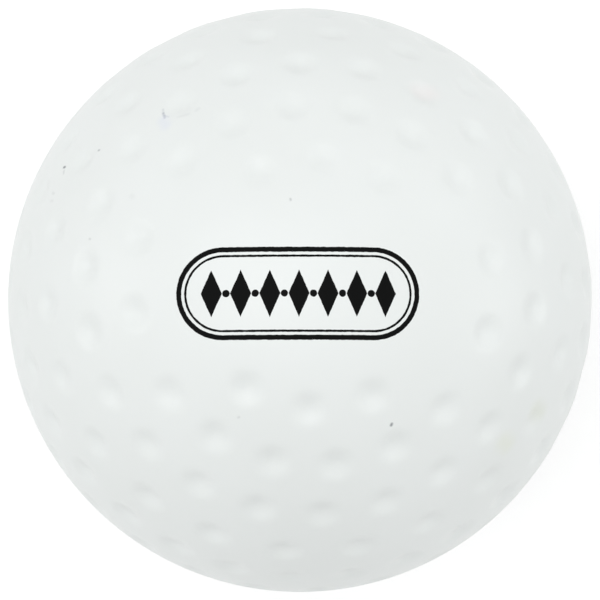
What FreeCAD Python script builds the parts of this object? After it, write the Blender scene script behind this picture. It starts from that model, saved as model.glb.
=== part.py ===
import FreeCAD, Part
import math
import os

# A field hockey ball, moulded as one solid with shallow dimples all over its skin.
# Sizes are in millimetres and angles in degrees, and +Z is up.
# The origin is the ball's centre. The two halves of the mould meet in the plane z = 0.
# The middle of each half is a smooth panel, long along X, where such a ball carries its print.

# The ball, by its outside diameter
ball_diameter = 73.0

# A dimple is the cap of a sphere: its width at the rim, and its depth below the ball's surface
dimple_diameter = 4.0
dimple_depth = 0.5

# The dimples lie on rings round the pole of their half, an even step apart.
# Ring 1 is half a step from the parting plane, and the pole would be half a step past the last.
rings_in_half = 7

# Rings 1 and 2 have this many dimples, and those of ring 1 stand between those of ring 2
outer_ring_dimples = 30

# Rings 3 and 4 have this many, and those of ring 4 stand between those of ring 3
middle_ring_dimples = 22

# Rings 2 and 3 start this far round from the panel's long axis
first_dimple_angle = 6.0

# Ring 5 is broken at the panel's corners: an arc along each side, and a pair at each end
ring_5_side_dimples = 6
ring_5_side_pitch = 20.0
ring_5_end_dimples = 2
ring_5_end_pitch = 24.0

# Ring 6 has an arc along each side of the panel and none at its ends, and ring 7 is left out
ring_6_side_dimples = 3
ring_6_side_pitch = 30.0

# What follows from these sizes
ball_radius = ball_diameter / 2
rim_radius = dimple_diameter / 2
quarter_turn = 90.0
half_turn = 180.0
full_turn = 360.0
ring_step = quarter_turn / (rings_in_half + 0.5)
side_middles = (quarter_turn, quarter_turn + half_turn)
end_middles = (0.0, half_turn)


def elevation(ring):
    """Angle of a ring above the parting plane."""
    return (ring - 0.5) * ring_step


def full_ring(ring, count, first):
    """Places of a whole ring of dimples, as pairs of elevation and angle round +Z."""
    pitch = full_turn / count
    return [(elevation(ring), first + pitch * k) for k in range(count)]


def arcs(ring, middles, count, pitch):
    """Places of the same arc of dimples, once round each of the middles."""
    start = -pitch * (count - 1) / 2
    return [
        (elevation(ring), middle + start + pitch * k)
        for middle in middles
        for k in range(count)
    ]


def half_pattern():
    """Places of all the dimples of the upper half."""
    outer_pitch = full_turn / outer_ring_dimples
    middle_pitch = full_turn / middle_ring_dimples
    return (
        full_ring(1, outer_ring_dimples, first_dimple_angle - outer_pitch / 2)
        + full_ring(2, outer_ring_dimples, first_dimple_angle)
        + full_ring(3, middle_ring_dimples, first_dimple_angle)
        + full_ring(4, middle_ring_dimples, first_dimple_angle + middle_pitch / 2)
        + arcs(5, side_middles, ring_5_side_dimples, ring_5_side_pitch)
        + arcs(5, end_middles, ring_5_end_dimples, ring_5_end_pitch)
        + arcs(6, side_middles, ring_6_side_dimples, ring_6_side_pitch)
    )


def dimple_cutter():
    """Sphere that cuts one dimple on the +X side of the ball, with its seam outside the ball."""
    rim_plane = math.sqrt(ball_radius ** 2 - rim_radius ** 2)
    floor = ball_radius - dimple_depth
    sagitta = rim_plane - floor
    bowl_radius = (rim_radius ** 2 + sagitta ** 2) / (2 * sagitta)
    return Part.makeSphere(bowl_radius, FreeCAD.Vector(floor + bowl_radius, 0, 0))


def dimple_cutters():
    """One cutter for each dimple: the upper half's, and the same turned over about the X axis."""
    centre = FreeCAD.Vector(0, 0, 0)
    x_axis = FreeCAD.Vector(1, 0, 0)
    y_axis = FreeCAD.Vector(0, 1, 0)
    z_axis = FreeCAD.Vector(0, 0, 1)
    cutters = []
    for raised, turned in half_pattern():
        upper = dimple_cutter()
        upper.rotate(centre, y_axis, -raised)
        upper.rotate(centre, z_axis, turned)
        lower = upper.copy()
        lower.rotate(centre, x_axis, half_turn)
        cutters += [upper, lower]
    return cutters


def make_ball():
    """The whole ball, with every dimple cut into its skin."""
    return Part.makeSphere(ball_radius).cut(dimple_cutters())


os.makedirs("parts", exist_ok=True)
ball = make_ball()
ball.exportStep("parts/ball.step")
print("ball", "valid" if ball.isValid() else "not valid", len(ball.Faces), "faces", round(ball.Volume), "mm3")
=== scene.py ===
"""A field hockey ball: its moulded skin round the CAD frame, and the studio that it is seen in.

The ball's sizes are in millimetres until a mesh or a node needs metres, and the studio's distances
are in metres. The frame has its origin at the ball's centre, +Z through the middle of the upper
smooth panel and +X along that panel.
"""

import logging
import math
from dataclasses import dataclass, field
from enum import Enum
from typing import Any

import bpy
import numpy as np
from mathutils import Euler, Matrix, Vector


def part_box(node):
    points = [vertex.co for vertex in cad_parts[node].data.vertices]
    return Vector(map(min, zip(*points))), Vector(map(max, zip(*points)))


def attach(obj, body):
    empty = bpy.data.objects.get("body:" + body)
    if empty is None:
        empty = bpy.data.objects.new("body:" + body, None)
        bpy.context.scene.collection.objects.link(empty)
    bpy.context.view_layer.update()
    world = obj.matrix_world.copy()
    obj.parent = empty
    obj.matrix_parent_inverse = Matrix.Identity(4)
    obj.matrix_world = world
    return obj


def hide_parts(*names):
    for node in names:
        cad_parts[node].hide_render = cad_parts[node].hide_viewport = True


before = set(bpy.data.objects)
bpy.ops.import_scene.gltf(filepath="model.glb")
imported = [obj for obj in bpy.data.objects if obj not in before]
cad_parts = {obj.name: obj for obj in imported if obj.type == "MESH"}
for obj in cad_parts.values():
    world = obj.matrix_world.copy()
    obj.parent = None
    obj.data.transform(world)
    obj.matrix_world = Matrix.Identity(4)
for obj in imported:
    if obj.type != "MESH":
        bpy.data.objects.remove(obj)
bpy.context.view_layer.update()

MM = 0.001
FULL_TURN = 360.0
HALF_TURN = 180.0
QUARTER_TURN = 90.0
LOG = logging.getLogger("hockey_ball")

# The colour sockets of a Mix node by number, because the node gives the same name to several
UNDER_COLOUR, OVER_COLOUR, MIXED_COLOUR = 6, 7, 2


class Half(Enum):
    """The two halves of the mould. The lower one is the upper one turned over about the X axis."""

    UPPER = 1
    LOWER = -1


def deselect_everything() -> None:
    """Clear the selection, so that an operator acts only on what is added next."""
    bpy.ops.object.select_all(action="DESELECT")


def linear(hex_colour: str) -> tuple[float, float, float, float]:
    """Turn an sRGB colour into the linear one that a shader takes.

    Args:
        hex_colour: The colour as six hex digits, with or without a leading hash.

    Returns:
        Red, green and blue from 0 to 1, and an alpha of 1.
    """
    toe_end, toe_slope, offset, power = 0.04045, 12.92, 0.055, 2.4
    digits = hex_colour.lstrip("#")
    shares = [int(digits[start:start + 2], 16) / 255 for start in (0, 2, 4)]
    red, green, blue = (
        share / toe_slope if share <= toe_end else ((share + offset) / (1 + offset)) ** power
        for share in shares
    )
    return red, green, blue, 1.0


def toward(raised: float, turned: float) -> Vector:
    """Unit vector from the ball's centre, by its angles in degrees.

    Args:
        raised: Angle above the parting plane.
        turned: Angle round +Z, from +X.

    Returns:
        The direction.
    """
    up, round_ = math.radians(raised), math.radians(turned)
    return Vector((math.cos(up) * math.cos(round_), math.cos(up) * math.sin(round_), math.sin(up)))


def add_node(tree: bpy.types.NodeTree, kind: str, settings: dict[str, Any] | None = None,
             links: dict[int | str, Any] | None = None) -> bpy.types.Node:
    """Add one node, set it and link it.

    Args:
        tree: The node tree to add to.
        kind: The node's type.
        settings: Values for the node's own properties.
        links: For each input, by number or name, an output socket to link or a constant to set.

    Returns:
        The new node.
    """
    node = tree.nodes.new(kind)
    for name, value in (settings or {}).items():
        setattr(node, name, value)
    for key, value in (links or {}).items():
        if isinstance(value, bpy.types.NodeSocket):
            tree.links.new(value, node.inputs[key])
        else:
            node.inputs[key].default_value = value
    return node


@dataclass(frozen=True)
class Dimple:
    """A shallow bowl whose edge runs softly into the skin round it, in millimetres."""

    reach: float = 2.83
    depth: float = 0.60
    softness: float = 2.58

    def drop(self, off: np.ndarray) -> np.ndarray:
        """How far the skin lies below the smooth ball.

        Args:
            off: Distances from the dimple's middle along the skin.

        Returns:
            The drop at each distance.
        """
        share = np.clip(off / self.reach, 0.0, 1.0)
        return self.depth * (1.0 - share ** 2) ** self.softness


@dataclass(frozen=True)
class DimplePattern:
    """Where the dimples lie, by the CAD part's own rule: rings round the pole of each half.

    An arc is given as how many dimples it has, and the angle between them.
    """

    rings_in_half: int = 7
    outer_count: int = 30
    middle_count: int = 22
    first_angle: float = 6.0
    ring_5_side: tuple[int, float] = (6, 20.0)
    ring_5_end: tuple[int, float] = (2, 24.0)
    ring_6_side: tuple[int, float] = (3, 30.0)

    def raised(self, ring: int) -> float:
        """Angle of a ring above the parting plane, in degrees."""
        return (ring - 0.5) * QUARTER_TURN / (self.rings_in_half + 0.5)

    def full_ring(self, ring: int, count: int, first: float) -> list[Vector]:
        """Directions of a whole ring of dimples.

        Args:
            ring: The ring's number from the parting plane.
            count: How many dimples it has.
            first: Angle of the first one round +Z.

        Returns:
            One direction for each dimple.
        """
        return [toward(self.raised(ring), first + FULL_TURN * k / count) for k in range(count)]

    def arcs(self, ring: int, middles: tuple[float, float], arc: tuple[int, float]) -> list[Vector]:
        """Directions of the same arc of dimples on both sides of the panel.

        Args:
            ring: The ring's number from the parting plane.
            middles: Angles of the two arcs' middles round +Z.
            arc: How many dimples each arc has, and the angle between them.

        Returns:
            One direction for each dimple.
        """
        count, pitch = arc
        start = -pitch * (count - 1) / 2
        return [toward(self.raised(ring), middle + start + pitch * k)
                for middle in middles for k in range(count)]

    def directions(self) -> np.ndarray:
        """Place every dimple of both halves.

        Returns:
            One row for each dimple: the unit vector from the ball's centre to its middle.
        """
        sides = (QUARTER_TURN, QUARTER_TURN + HALF_TURN)
        ends = (0.0, HALF_TURN)
        outer_shift = HALF_TURN / self.outer_count
        middle_shift = HALF_TURN / self.middle_count
        upper = self.full_ring(1, self.outer_count, self.first_angle - outer_shift)
        upper += self.full_ring(2, self.outer_count, self.first_angle)
        upper += self.full_ring(3, self.middle_count, self.first_angle)
        upper += self.full_ring(4, self.middle_count, self.first_angle + middle_shift)
        upper += self.arcs(5, sides, self.ring_5_side)
        upper += self.arcs(5, ends, self.ring_5_end)
        upper += self.arcs(6, sides, self.ring_6_side)
        rows = np.array([list(direction) for direction in upper])
        return np.vstack([rows * (1, half.value, half.value) for half in Half])


class Stain(Enum):
    """What lies on the skin, by its colour."""

    DIRT = "#5B6068"
    BLUE_RUB = "#8C92A6"
    GREY_RUB = "#A4A9AE"
    PALE_BLUE = "#D9DFF6"
    PALE_PINK = "#F3DCDD"
    PALE_YELLOW = "#E4EACB"


@dataclass(frozen=True)
class Blemish:
    """A speck, streak or stain on the skin: a soft line between two places on it.

    A place is an angle above the parting plane and one round +Z, in degrees. The width is how far
    the stain reaches to each side of the line, in millimetres, and the strength is 1 where it hides
    the white.
    """

    start: tuple[float, float]
    end: tuple[float, float]
    width: float
    strength: float
    stain: Stain

    def cover(self, tree: bpy.types.NodeTree, place: bpy.types.NodeSocket,
              radius: float) -> bpy.types.NodeSocket:
        """How much of the skin the blemish hides.

        Args:
            tree: The node tree to add to.
            place: The point that is shaded, in metres.
            radius: The ball's radius in metres.

        Returns:
            A socket that is the blemish's strength along its line and 0 outside it.
        """
        start = toward(*self.start) * radius
        along = toward(*self.end) * radius - start
        from_start = add_node(tree, "ShaderNodeVectorMath", {"operation": "SUBTRACT"}, {
            0: place, 1: start})
        share = add_node(tree, "ShaderNodeVectorMath", {"operation": "DOT_PRODUCT"}, {
            0: from_start.outputs[0], 1: along / along.length_squared})
        held = add_node(tree, "ShaderNodeClamp", {}, {"Value": share.outputs["Value"]})
        nearest = add_node(tree, "ShaderNodeVectorMath", {"operation": "SCALE"}, {
            0: along, "Scale": held.outputs[0]})
        off = add_node(tree, "ShaderNodeVectorMath", {"operation": "DISTANCE"}, {
            0: from_start.outputs[0], 1: nearest.outputs[0]})
        return add_node(tree, "ShaderNodeMapRange", {"interpolation_type": "SMOOTHSTEP"}, {
            "Value": off.outputs["Value"], "From Min": 0.0, "From Max": self.width * MM,
            "To Min": self.strength, "To Max": 0.0}).outputs["Result"]


@dataclass(frozen=True)
class PrintedMark:
    """A plain ornament pad-printed on the upper panel: a round-ended frame and a row of lozenges.

    Sizes are in millimetres. The mark sits a little off the panel's middle, as printed balls do.
    """

    middle: tuple[float, float] = (-2.04, -1.48)
    turned: float = 3.04
    half_length: float = 14.24
    half_width: float = 5.42
    frame_line: float = 0.54
    inner_line: float = 0.22
    inner_gap: float = 0.92
    lozenges: int = 7
    lozenge_pitch: float = 3.4
    lozenge_half_width: float = 1.2
    lozenge_half_height: float = 2.7
    dot_radius: float = 0.4
    edge_softness: float = 0.05
    edge_wander: float = 0.05
    wander_size: float = 0.5
    wander_detail: float = 1.0

    def cover(self, tree: bpy.types.NodeTree, place: bpy.types.NodeSocket) -> bpy.types.NodeSocket:
        """How much of the skin the ink hides.

        Args:
            tree: The node tree to add to.
            place: The point that is shaded, in metres.

        Returns:
            A socket that is 1 under the ink and 0 on the bare skin.
        """
        flat = add_node(tree, "ShaderNodeMapping", {"vector_type": "TEXTURE"}, {
            "Vector": place, "Location": (self.middle[0] * MM, self.middle[1] * MM, 0.0),
            "Rotation": (0.0, 0.0, math.radians(self.turned)), "Scale": (MM, MM, MM)})
        folded = add_node(tree, "ShaderNodeVectorMath", {"operation": "ABSOLUTE"}, {
            0: flat.outputs[0]})
        nearest = self.row(tree, folded.outputs[0])
        from_core = self.from_core(tree, folded.outputs[0])
        for gap, width in ((0.0, self.frame_line), (self.inner_gap, self.inner_line)):
            off_line = add_node(tree, "ShaderNodeMath", {"operation": "SUBTRACT"}, {
                0: from_core, 1: self.half_width - gap - width / 2})
            either_side = add_node(tree, "ShaderNodeMath", {"operation": "ABSOLUTE"}, {
                0: off_line.outputs[0]})
            line = add_node(tree, "ShaderNodeMath", {"operation": "SUBTRACT"}, {
                0: either_side.outputs[0], 1: width / 2})
            nearest = add_node(tree, "ShaderNodeMath", {"operation": "MINIMUM"}, {
                0: nearest, 1: line.outputs[0]}).outputs[0]
        wander = add_node(tree, "ShaderNodeTexNoise", {}, {
            "Vector": place, "Scale": 1.0 / (self.wander_size * MM), "Detail": self.wander_detail})
        uneven = add_node(tree, "ShaderNodeMapRange", {}, {
            "Value": wander.outputs["Fac"],
            "To Min": -self.edge_wander, "To Max": self.edge_wander})
        rough_edge = add_node(tree, "ShaderNodeMath", {"operation": "ADD"}, {
            0: nearest, 1: uneven.outputs["Result"]})
        inked = add_node(tree, "ShaderNodeMapRange", {"interpolation_type": "SMOOTHSTEP"}, {
            "Value": rough_edge.outputs[0], "From Min": 0.0, "From Max": self.edge_softness,
            "To Min": 1.0, "To Max": 0.0})
        axes = add_node(tree, "ShaderNodeSeparateXYZ", {}, {0: flat.outputs[0]})
        on_top = add_node(tree, "ShaderNodeMath", {"operation": "GREATER_THAN"}, {
            0: axes.outputs["Z"], 1: 0.0})
        return add_node(tree, "ShaderNodeMath", {"operation": "MULTIPLY"}, {
            0: inked.outputs["Result"], 1: on_top.outputs[0]}).outputs[0]

    def from_core(self, tree: bpy.types.NodeTree,
                  folded: bpy.types.NodeSocket) -> bpy.types.NodeSocket:
        """Distance from the straight line that joins the middles of the mark's round ends.

        Args:
            tree: The node tree to add to.
            folded: The point's place in the mark, folded into one quarter of it.

        Returns:
            The distance, seen from above.
        """
        past_core = add_node(tree, "ShaderNodeVectorMath", {"operation": "SUBTRACT"}, {
            0: folded, 1: (self.half_length - self.half_width, 0.0, 0.0)})
        held = add_node(tree, "ShaderNodeVectorMath", {"operation": "MAXIMUM"}, {
            0: past_core.outputs[0], 1: (0.0, 0.0, 0.0)})
        from_above = add_node(tree, "ShaderNodeVectorMath", {"operation": "MULTIPLY"}, {
            0: held.outputs[0], 1: (1.0, 1.0, 0.0)})
        return add_node(tree, "ShaderNodeVectorMath", {"operation": "LENGTH"}, {
            0: from_above.outputs[0]}).outputs["Value"]

    def row(self, tree: bpy.types.NodeTree, folded: bpy.types.NodeSocket) -> bpy.types.NodeSocket:
        """Distance to the row of lozenges with a dot between each two.

        Args:
            tree: The node tree to add to.
            folded: The point's place in the mark, folded into one quarter of it.

        Returns:
            The distance, below 0 inside a shape.
        """
        half_pitch = self.lozenge_pitch / 2
        row_end = (self.lozenges - 1) * half_pitch + self.lozenge_half_width
        side = Vector((1 / self.lozenge_half_width, 1 / self.lozenge_half_height, 0))
        axes = add_node(tree, "ShaderNodeSeparateXYZ", {}, {0: folded})
        off_lozenge = add_node(tree, "ShaderNodeMath", {"operation": "PINGPONG"}, {
            0: axes.outputs["X"], 1: half_pitch})
        in_pitch = add_node(tree, "ShaderNodeCombineXYZ", {}, {
            "X": off_lozenge.outputs[0], "Y": axes.outputs["Y"]})
        from_middle = add_node(tree, "ShaderNodeVectorMath", {"operation": "DOT_PRODUCT"}, {
            0: in_pitch.outputs[0], 1: side.normalized()})
        lozenge = add_node(tree, "ShaderNodeMath", {"operation": "SUBTRACT"}, {
            0: from_middle.outputs["Value"], 1: 1 / side.length})
        from_dot = add_node(tree, "ShaderNodeVectorMath", {"operation": "DISTANCE"}, {
            0: in_pitch.outputs[0], 1: (half_pitch, 0.0, 0.0)})
        dot = add_node(tree, "ShaderNodeMath", {"operation": "SUBTRACT"}, {
            0: from_dot.outputs["Value"], 1: self.dot_radius})
        shape = add_node(tree, "ShaderNodeMath", {"operation": "MINIMUM"}, {
            0: lozenge.outputs[0], 1: dot.outputs[0]})
        past_end = add_node(tree, "ShaderNodeMath", {"operation": "SUBTRACT"}, {
            0: axes.outputs["X"], 1: row_end})
        return add_node(tree, "ShaderNodeMath", {"operation": "MAXIMUM"}, {
            0: shape.outputs[0], 1: past_end.outputs[0]}).outputs[0]


@dataclass(frozen=True)
class MouldedPvc:
    """White PVC, compression moulded: a hard satin skin that is barely cool in tone.

    The mould leaves a faint ripple and the thin line where its halves met, and the white drifts a
    little from place to place.
    """

    white: str = "#F1F5F4"
    duller_white: str = "#ECF0EE"
    ink: str = "#090A0A"
    roughness: float = 0.42
    ink_roughness: float = 0.55
    shine: float = 0.5
    ink_shine: float = 0.05
    ior: float = 1.53
    drift_size: float = 14.0
    drift_detail: float = 3.0
    ripple_size: float = 2.2
    ripple_detail: float = 2.0
    ripple_height: float = 0.006
    parting_half_width: float = 0.22
    parting_height: float = 0.035
    ink_height: float = 0.01
    mark: PrintedMark = PrintedMark()
    blemishes: tuple[Blemish, ...] = (
        Blemish((24.2, 155.9), (24.8, 155.8), 0.30, 0.80, Stain.DIRT),
        Blemish((25.1, 156.6), (25.6, 157.2), 0.28, 0.22, Stain.DIRT),
        Blemish((33.3, 149.6), (33.6, 149.5), 0.26, 0.42, Stain.DIRT),
        Blemish((58.7, 301.6), (58.9, 302.0), 0.30, 0.75, Stain.DIRT),
        Blemish((73.7, 110.4), (73.9, 110.4), 0.25, 0.30, Stain.DIRT),
        Blemish((60.1, 243.3), (60.3, 243.5), 0.25, 0.16, Stain.DIRT),
        Blemish((41.9, 170.8), (42.2, 170.8), 0.25, 0.20, Stain.DIRT),
        Blemish((24.4, 161.8), (25.3, 161.9), 0.34, 0.12, Stain.DIRT),
        Blemish((25.1, 163.5), (25.9, 163.5), 0.34, 0.08, Stain.DIRT),
        Blemish((48.7, 156.7), (49.1, 156.8), 0.60, 0.05, Stain.DIRT),
        Blemish((40.2, 132.6), (41.2, 133.3), 0.25, 0.26, Stain.BLUE_RUB),
        Blemish((41.2, 133.3), (42.6, 133.9), 0.30, 0.44, Stain.BLUE_RUB),
        Blemish((42.0, 133.5), (43.0, 133.0), 0.24, 0.24, Stain.BLUE_RUB),
        Blemish((44.9, 130.8), (45.9, 128.8), 0.48, 0.11, Stain.GREY_RUB),
        Blemish((46.3, 126.3), (46.3, 125.7), 0.46, 0.12, Stain.GREY_RUB),
        Blemish((42.8, 134.7), (44.4, 135.2), 1.30, 0.24, Stain.PALE_BLUE),
        Blemish((41.6, 63.9), (40.5, 62.0), 2.20, 0.18, Stain.PALE_PINK),
        Blemish((31.5, 335.6), (29.1, 335.5), 2.20, 0.22, Stain.PALE_YELLOW),
        Blemish((35.6, 325.1), (33.6, 325.1), 2.20, 0.22, Stain.PALE_YELLOW),
    )

    def build(self, radius: float) -> bpy.types.Material:
        """Make the material.

        Args:
            radius: The ball's radius in metres.

        Returns:
            The finished material.
        """
        material = bpy.data.materials.new("white_pvc_compression_moulded")
        material.use_nodes = True
        tree = material.node_tree
        tree.nodes.clear()
        place = add_node(tree, "ShaderNodeTexCoord").outputs["Object"]
        inked = self.mark.cover(tree, place)
        sheen = add_node(tree, "ShaderNodeMapRange", {}, {
            "Value": inked, "To Min": self.roughness, "To Max": self.ink_roughness})
        shine = add_node(tree, "ShaderNodeMapRange", {}, {
            "Value": inked, "To Min": self.shine, "To Max": self.ink_shine})
        shader = add_node(tree, "ShaderNodeBsdfPrincipled", {}, {
            "Base Color": self.colour(tree, place, inked, radius), "IOR": self.ior,
            "Roughness": sheen.outputs["Result"], "Specular IOR Level": shine.outputs["Result"],
            "Normal": self.relief(tree, place, inked)})
        add_node(tree, "ShaderNodeOutputMaterial", {}, {"Surface": shader.outputs["BSDF"]})
        return material

    def colour(self, tree: bpy.types.NodeTree, place: bpy.types.NodeSocket,
               inked: bpy.types.NodeSocket, radius: float) -> bpy.types.NodeSocket:
        """Lay the drift of the white, the blemishes and the ink over the white, in that order.

        Args:
            tree: The node tree to add to.
            place: The point that is shaded, in metres.
            inked: How much of the skin the ink hides.
            radius: The ball's radius in metres.

        Returns:
            The skin's colour.
        """
        drift = add_node(tree, "ShaderNodeTexNoise", {}, {
            "Vector": place, "Scale": 1.0 / (self.drift_size * MM), "Detail": self.drift_detail})
        layers = [(drift.outputs["Fac"], self.duller_white)]
        layers += [(blemish.cover(tree, place, radius), blemish.stain.value)
                   for blemish in self.blemishes]
        layers.append((inked, self.ink))
        colour = linear(self.white)
        for share, over in layers:
            mixed = add_node(tree, "ShaderNodeMix", {"data_type": "RGBA"}, {
                "Factor": share, UNDER_COLOUR: colour, OVER_COLOUR: linear(over)})
            colour = mixed.outputs[MIXED_COLOUR]
        return colour

    def relief(self, tree: bpy.types.NodeTree, place: bpy.types.NodeSocket,
               inked: bpy.types.NodeSocket) -> bpy.types.NodeSocket:
        """Stack the skin's ripple, the parting line and the thickness of the ink.

        Args:
            tree: The node tree to add to.
            place: The point that is shaded, in metres.
            inked: How much of the skin the ink hides.

        Returns:
            The normal of the surface with that relief.
        """
        ripple = add_node(tree, "ShaderNodeTexNoise", {}, {
            "Vector": place, "Scale": 1.0 / (self.ripple_size * MM), "Detail": self.ripple_detail})
        height = add_node(tree, "ShaderNodeMath", {"operation": "MULTIPLY"}, {
            0: ripple.outputs["Fac"], 1: self.ripple_height})
        for share, step in ((self.parting_line(tree, place), self.parting_height),
                            (inked, self.ink_height)):
            height = add_node(tree, "ShaderNodeMath", {"operation": "MULTIPLY_ADD"}, {
                0: share, 1: step, 2: height.outputs[0]})
        return add_node(tree, "ShaderNodeBump", {}, {
            "Height": height.outputs[0], "Distance": MM, "Strength": 1.0}).outputs["Normal"]

    def parting_line(self, tree: bpy.types.NodeTree,
                     place: bpy.types.NodeSocket) -> bpy.types.NodeSocket:
        """Where the two halves of the mould met.

        Args:
            tree: The node tree to add to.
            place: The point that is shaded, in metres.

        Returns:
            A socket that is 1 on the parting plane and falls softly to 0 on both sides of it.
        """
        axes = add_node(tree, "ShaderNodeSeparateXYZ", {}, {0: place})
        off = add_node(tree, "ShaderNodeMath", {"operation": "ABSOLUTE"}, {0: axes.outputs["Z"]})
        return add_node(tree, "ShaderNodeMapRange", {"interpolation_type": "SMOOTHSTEP"}, {
            "Value": off.outputs[0], "From Min": 0.0, "From Max": self.parting_half_width * MM,
            "To Min": 1.0, "To Max": 0.0}).outputs["Result"]


@dataclass
class Ball:
    """The ball: one moulded solid, dimpled all over but for a smooth panel on each half."""

    radius: float
    dimple: Dimple = field(default_factory=Dimple)
    pattern: DimplePattern = field(default_factory=DimplePattern)
    finish: MouldedPvc = field(default_factory=MouldedPvc)
    ico_subdivisions: int = 6
    extra_cuts: int = 2

    def build(self) -> bpy.types.Object:
        """Model and dress the ball, and put it in place of the CAD solid.

        Returns:
            The finished ball.
        """
        deselect_everything()
        bpy.ops.mesh.primitive_ico_sphere_add(
            subdivisions=self.ico_subdivisions, radius=self.radius)
        ball = bpy.context.object
        ball.name = "moulded_ball"
        bpy.ops.object.mode_set(mode="EDIT")
        bpy.ops.mesh.select_all(action="SELECT")
        bpy.ops.mesh.subdivide(number_cuts=self.extra_cuts)
        bpy.ops.object.mode_set(mode="OBJECT")
        self.press_dimples(ball.data)
        bpy.ops.object.shade_smooth()
        ball.data.materials.clear()
        ball.data.materials.append(self.finish.build(self.radius))
        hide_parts("ball")
        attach(ball, "root")
        return ball

    def press_dimples(self, mesh: bpy.types.Mesh) -> None:
        """Bring every point to the ball's surface, and press the dimples into it.

        Args:
            mesh: The mesh to shape.
        """
        flat = np.empty(len(mesh.vertices) * 3)
        mesh.vertices.foreach_get("co", flat)
        outward = flat.reshape(-1, 3)
        outward /= np.linalg.norm(outward, axis=1, keepdims=True)
        height = np.zeros(len(outward))
        widest = self.dimple.reach * MM / self.radius
        for middle in self.pattern.directions():
            cosine = outward @ middle
            near = cosine > math.cos(widest)
            off = np.arccos(np.clip(cosine[near], -1.0, 1.0)) * self.radius / MM
            height[near] -= self.dimple.drop(off)
        shaped = outward * (self.radius + height * MM)[:, None]
        mesh.vertices.foreach_set("co", shaped.ravel())
        mesh.update()


@dataclass(frozen=True)
class Softbox:
    """A square studio lamp that points at the ball.

    Its place is an angle above the floor, an angle round +Z from +X and a distance from the ball's
    centre. Angles are in degrees, the distance and width in metres and the power in watts.
    """

    name: str
    raised: float
    turned: float
    power: float
    width: float = 0.9
    distance: float = 1.2

    def build(self) -> bpy.types.Object:
        """Make the lamp and aim it.

        Returns:
            The lamp.
        """
        lamp = bpy.data.lights.new(self.name, "AREA")
        lamp.shape = "SQUARE"
        lamp.size = self.width
        lamp.energy = self.power
        piece = bpy.data.objects.new(self.name, lamp)
        bpy.context.scene.collection.objects.link(piece)
        way = toward(self.raised, self.turned)
        piece.location = way * self.distance
        piece.rotation_euler = way.to_track_quat("Z", "Y").to_euler()
        piece.visible_camera = False
        return piece


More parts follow.
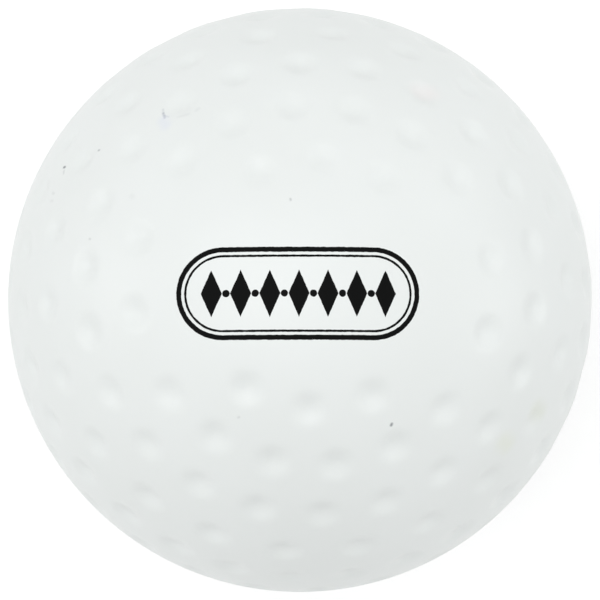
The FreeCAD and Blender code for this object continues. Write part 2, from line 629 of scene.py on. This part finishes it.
@dataclass
class Studio:
    """A pale floor under the ball, soft light from above, and a camera that looks down on it.

    The floor's width and the camera's nearest and farthest distances are in metres, the lens and
    its sensor in millimetres, and the camera's turn about X, Y and Z in degrees. The camera looks
    at the ball's centre from some ball radii away.
    """

    ball_radius: float
    floor_width: float = 1.4
    floor_colour: str = "#EDEDED"
    floor_glow: float = 0.32
    world_colour: str = "#FFFFFF"
    world_strength: float = 0.557
    seen_strength: float = 1.0
    camera_radii: float = 15.0
    camera_lens: float = 262.2
    camera_sensor: float = 36.0
    camera_clip: tuple[float, float] = (0.01, 100.0)
    camera_turn: tuple[float, float, float] = (3.44, -3.15, 3.04)
    lamps: tuple[Softbox, ...] = (
        Softbox("upper_left_softbox", raised=70.0, turned=180.0, power=4.4),
        Softbox("upper_right_softbox", raised=70.0, turned=0.0, power=1.6),
        Softbox("back_right_softbox", raised=28.0, turned=45.0, power=1.15),
        Softbox("low_left_panel", raised=12.0, turned=180.0, power=1.4, width=0.45),
        Softbox("low_right_panel", raised=12.0, turned=0.0, power=1.25, width=0.45),
        Softbox("low_back_panel", raised=12.0, turned=90.0, power=0.55, width=0.45),
    )

    def build(self) -> None:
        """Make the floor, the surroundings, the lamps and the camera."""
        self.build_floor()
        self.build_world()
        for lamp in self.lamps:
            lamp.build()
        self.build_camera()

    def seen_directly(self, tree: bpy.types.NodeTree) -> bpy.types.NodeSocket:
        """A socket that is 1 for rays that show the surroundings, and 0 for those that light.

        Args:
            tree: The node tree to add to.

        Returns:
            The socket.
        """
        path = add_node(tree, "ShaderNodeLightPath")
        mirrored = add_node(tree, "ShaderNodeMath", {"operation": "MAXIMUM"}, {
            0: path.outputs["Is Glossy Ray"], 1: path.outputs["Is Transmission Ray"]})
        return add_node(tree, "ShaderNodeMath", {"operation": "MAXIMUM"}, {
            0: path.outputs["Is Camera Ray"], 1: mirrored.outputs[0]}).outputs[0]

    def build_floor(self) -> bpy.types.Object:
        """Make the floor, which keeps the ball's shadow and otherwise shows as white.

        Returns:
            The floor.
        """
        deselect_everything()
        bpy.ops.mesh.primitive_plane_add(size=self.floor_width, location=(0, 0, -self.ball_radius))
        bpy.ops.object.transform_apply(location=True, rotation=False, scale=False)
        floor = bpy.context.object
        floor.name = "studio_floor"
        material = bpy.data.materials.new("matt_white_studio_sweep")
        material.use_nodes = True
        tree = material.node_tree
        tree.nodes.clear()
        paint = add_node(tree, "ShaderNodeBsdfDiffuse", {}, {"Color": linear(self.floor_colour)})
        lift = add_node(tree, "ShaderNodeMath", {"operation": "MULTIPLY"}, {
            0: self.seen_directly(tree), 1: self.floor_glow})
        glow = add_node(tree, "ShaderNodeEmission", {}, {"Strength": lift.outputs[0]})
        both = add_node(tree, "ShaderNodeAddShader", {}, {
            0: paint.outputs["BSDF"], 1: glow.outputs["Emission"]})
        add_node(tree, "ShaderNodeOutputMaterial", {}, {"Surface": both.outputs["Shader"]})
        floor.data.materials.append(material)
        return floor

    def build_world(self) -> None:
        """Surround the ball with even light, which shows as white behind it."""
        world = bpy.data.worlds.new("studio_surroundings")
        bpy.context.scene.world = world
        world.use_nodes = True
        tree = world.node_tree
        tree.nodes.clear()
        strength = add_node(tree, "ShaderNodeMapRange", {}, {
            "Value": self.seen_directly(tree),
            "To Min": self.world_strength, "To Max": self.seen_strength})
        even = add_node(tree, "ShaderNodeBackground", {}, {
            "Color": linear(self.world_colour), "Strength": strength.outputs["Result"]})
        add_node(tree, "ShaderNodeOutputWorld", {}, {"Surface": even.outputs["Background"]})

    def build_camera(self) -> bpy.types.Object:
        """Make the scene's camera, which looks almost straight down on the upper panel.

        Returns:
            The camera.
        """
        lens = bpy.data.cameras.new("studio_camera")
        lens.lens = self.camera_lens
        lens.sensor_width = self.camera_sensor
        lens.clip_start, lens.clip_end = self.camera_clip
        camera = bpy.data.objects.new("studio_camera", lens)
        bpy.context.scene.collection.objects.link(camera)
        turn = Euler([math.radians(angle) for angle in self.camera_turn])
        camera.rotation_euler = turn
        camera.location = turn.to_matrix() @ Vector((0, 0, self.camera_radii * self.ball_radius))
        bpy.context.scene.camera = camera
        return camera


def main() -> None:
    """Build the ball and its studio round the frame."""
    logging.basicConfig(level=logging.INFO, format="%(message)s")
    low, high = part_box("ball")
    radius = (high.z - low.z) / 2
    ball = Ball(radius).build()
    LOG.info("%s: %d triangles", ball.name, len(ball.data.polygons))
    Studio(radius).build()
    bpy.context.scene.view_settings.view_transform = "Standard"


if __name__ == "__main__":
    main()
